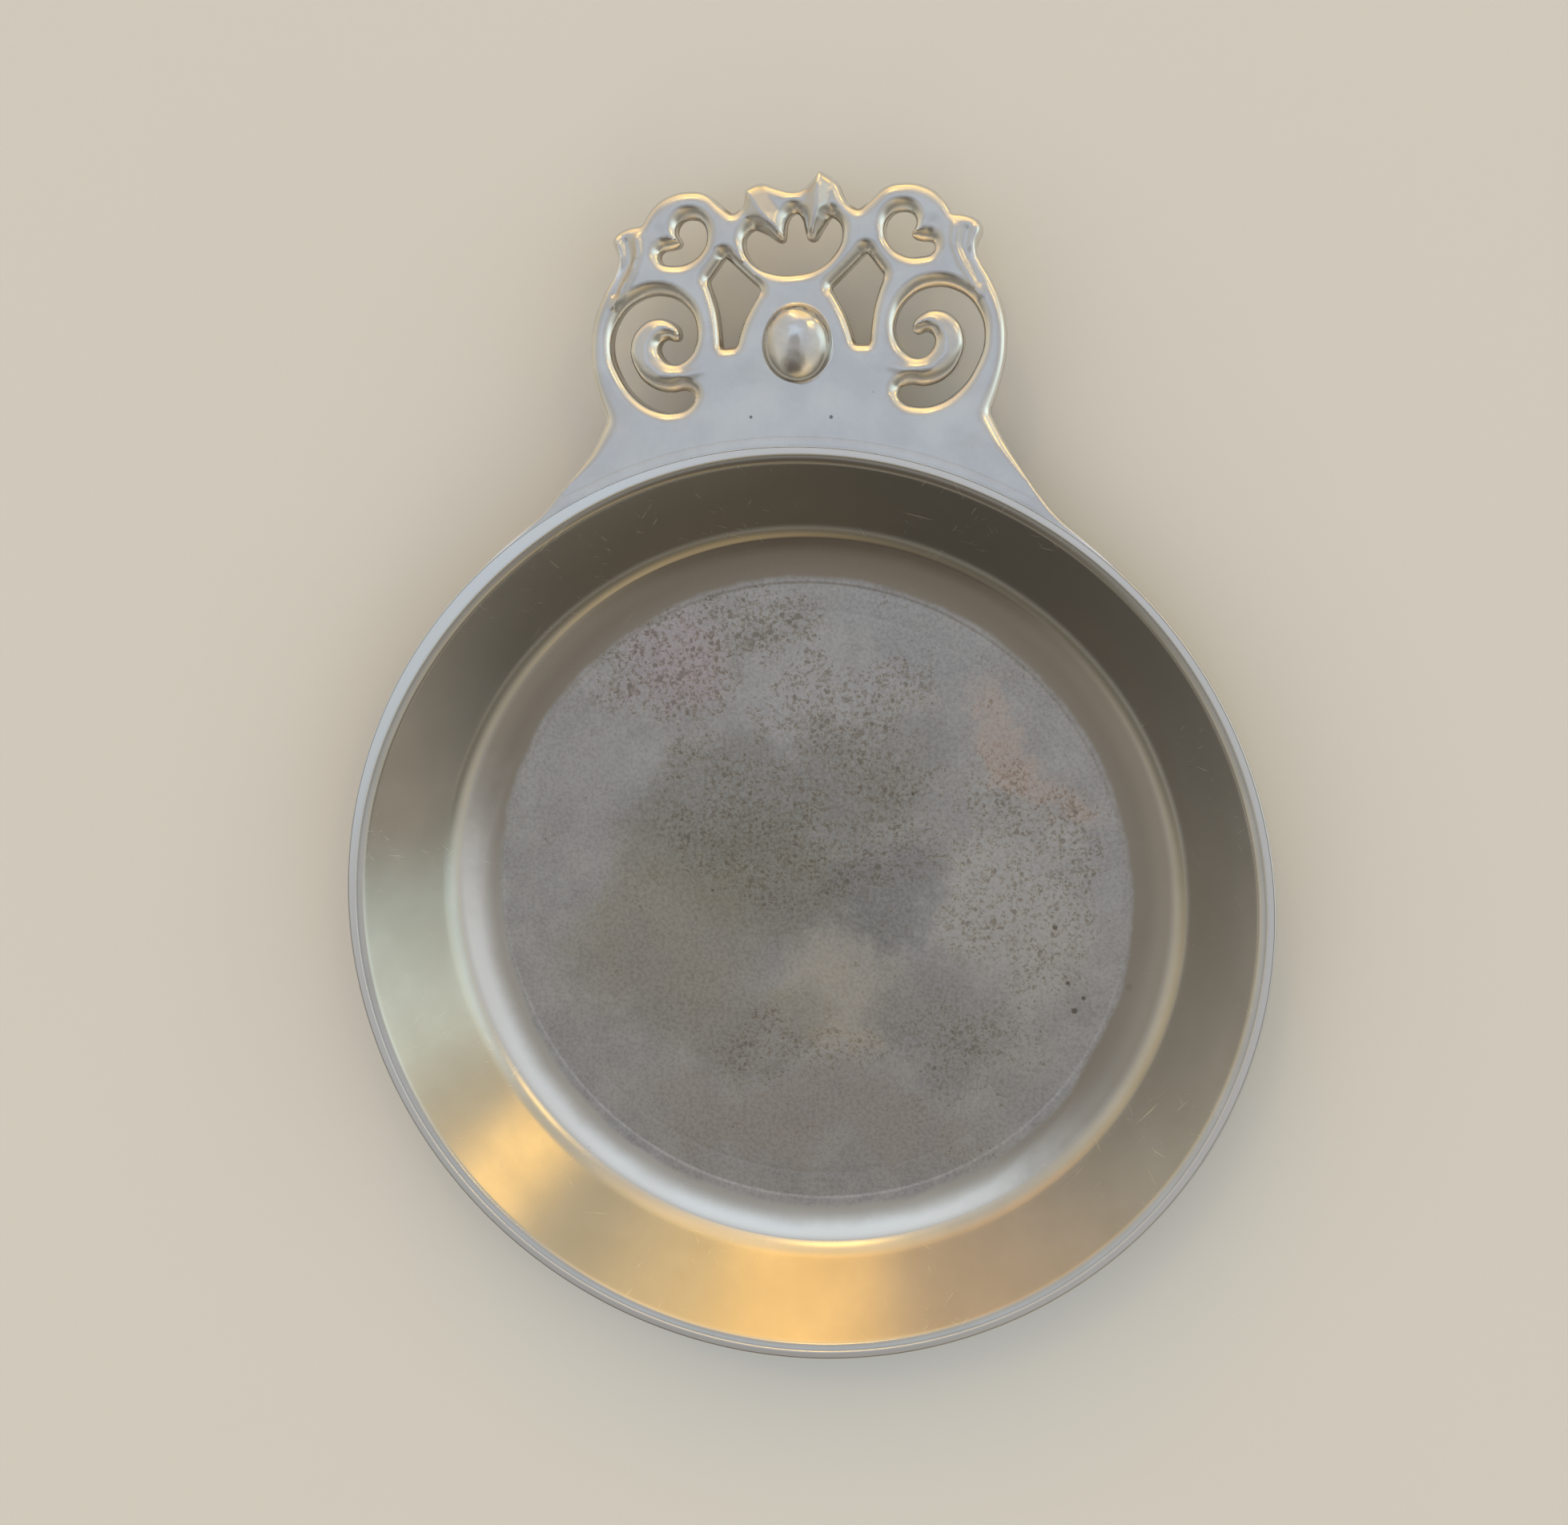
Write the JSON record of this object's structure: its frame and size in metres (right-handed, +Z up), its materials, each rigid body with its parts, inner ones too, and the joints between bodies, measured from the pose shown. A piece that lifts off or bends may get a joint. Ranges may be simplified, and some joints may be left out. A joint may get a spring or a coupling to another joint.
{
  "type": "serving dish",
  "caption": "Shallow round cast pewter dish with a flat-topped rim, a flat floor and one flat pierced scroll handle soldered on level with the rim.",
  "frame": {"origin": "centre of the bowl's flat underside", "axes": "+Z up out of the bowl, +Y from the bowl's centre towards the handle, +X to the right seen from above with the handle away from the viewer"},
  "size_m": [0.14, 0.1779, 0.0189],
  "materials": {
    "satin_pewter": "satin polished, floor dulled by oxide",
    "polished_pewter": "polished",
    "filed_solder": "filed and scraped smooth"
  },
  "bodies": {
    "root": {"bowl": "satin_pewter", "handle": "satin_pewter", "handle_boss": "polished_pewter", "solder_seam": "filed_solder"}
  },
  "joints": []
}
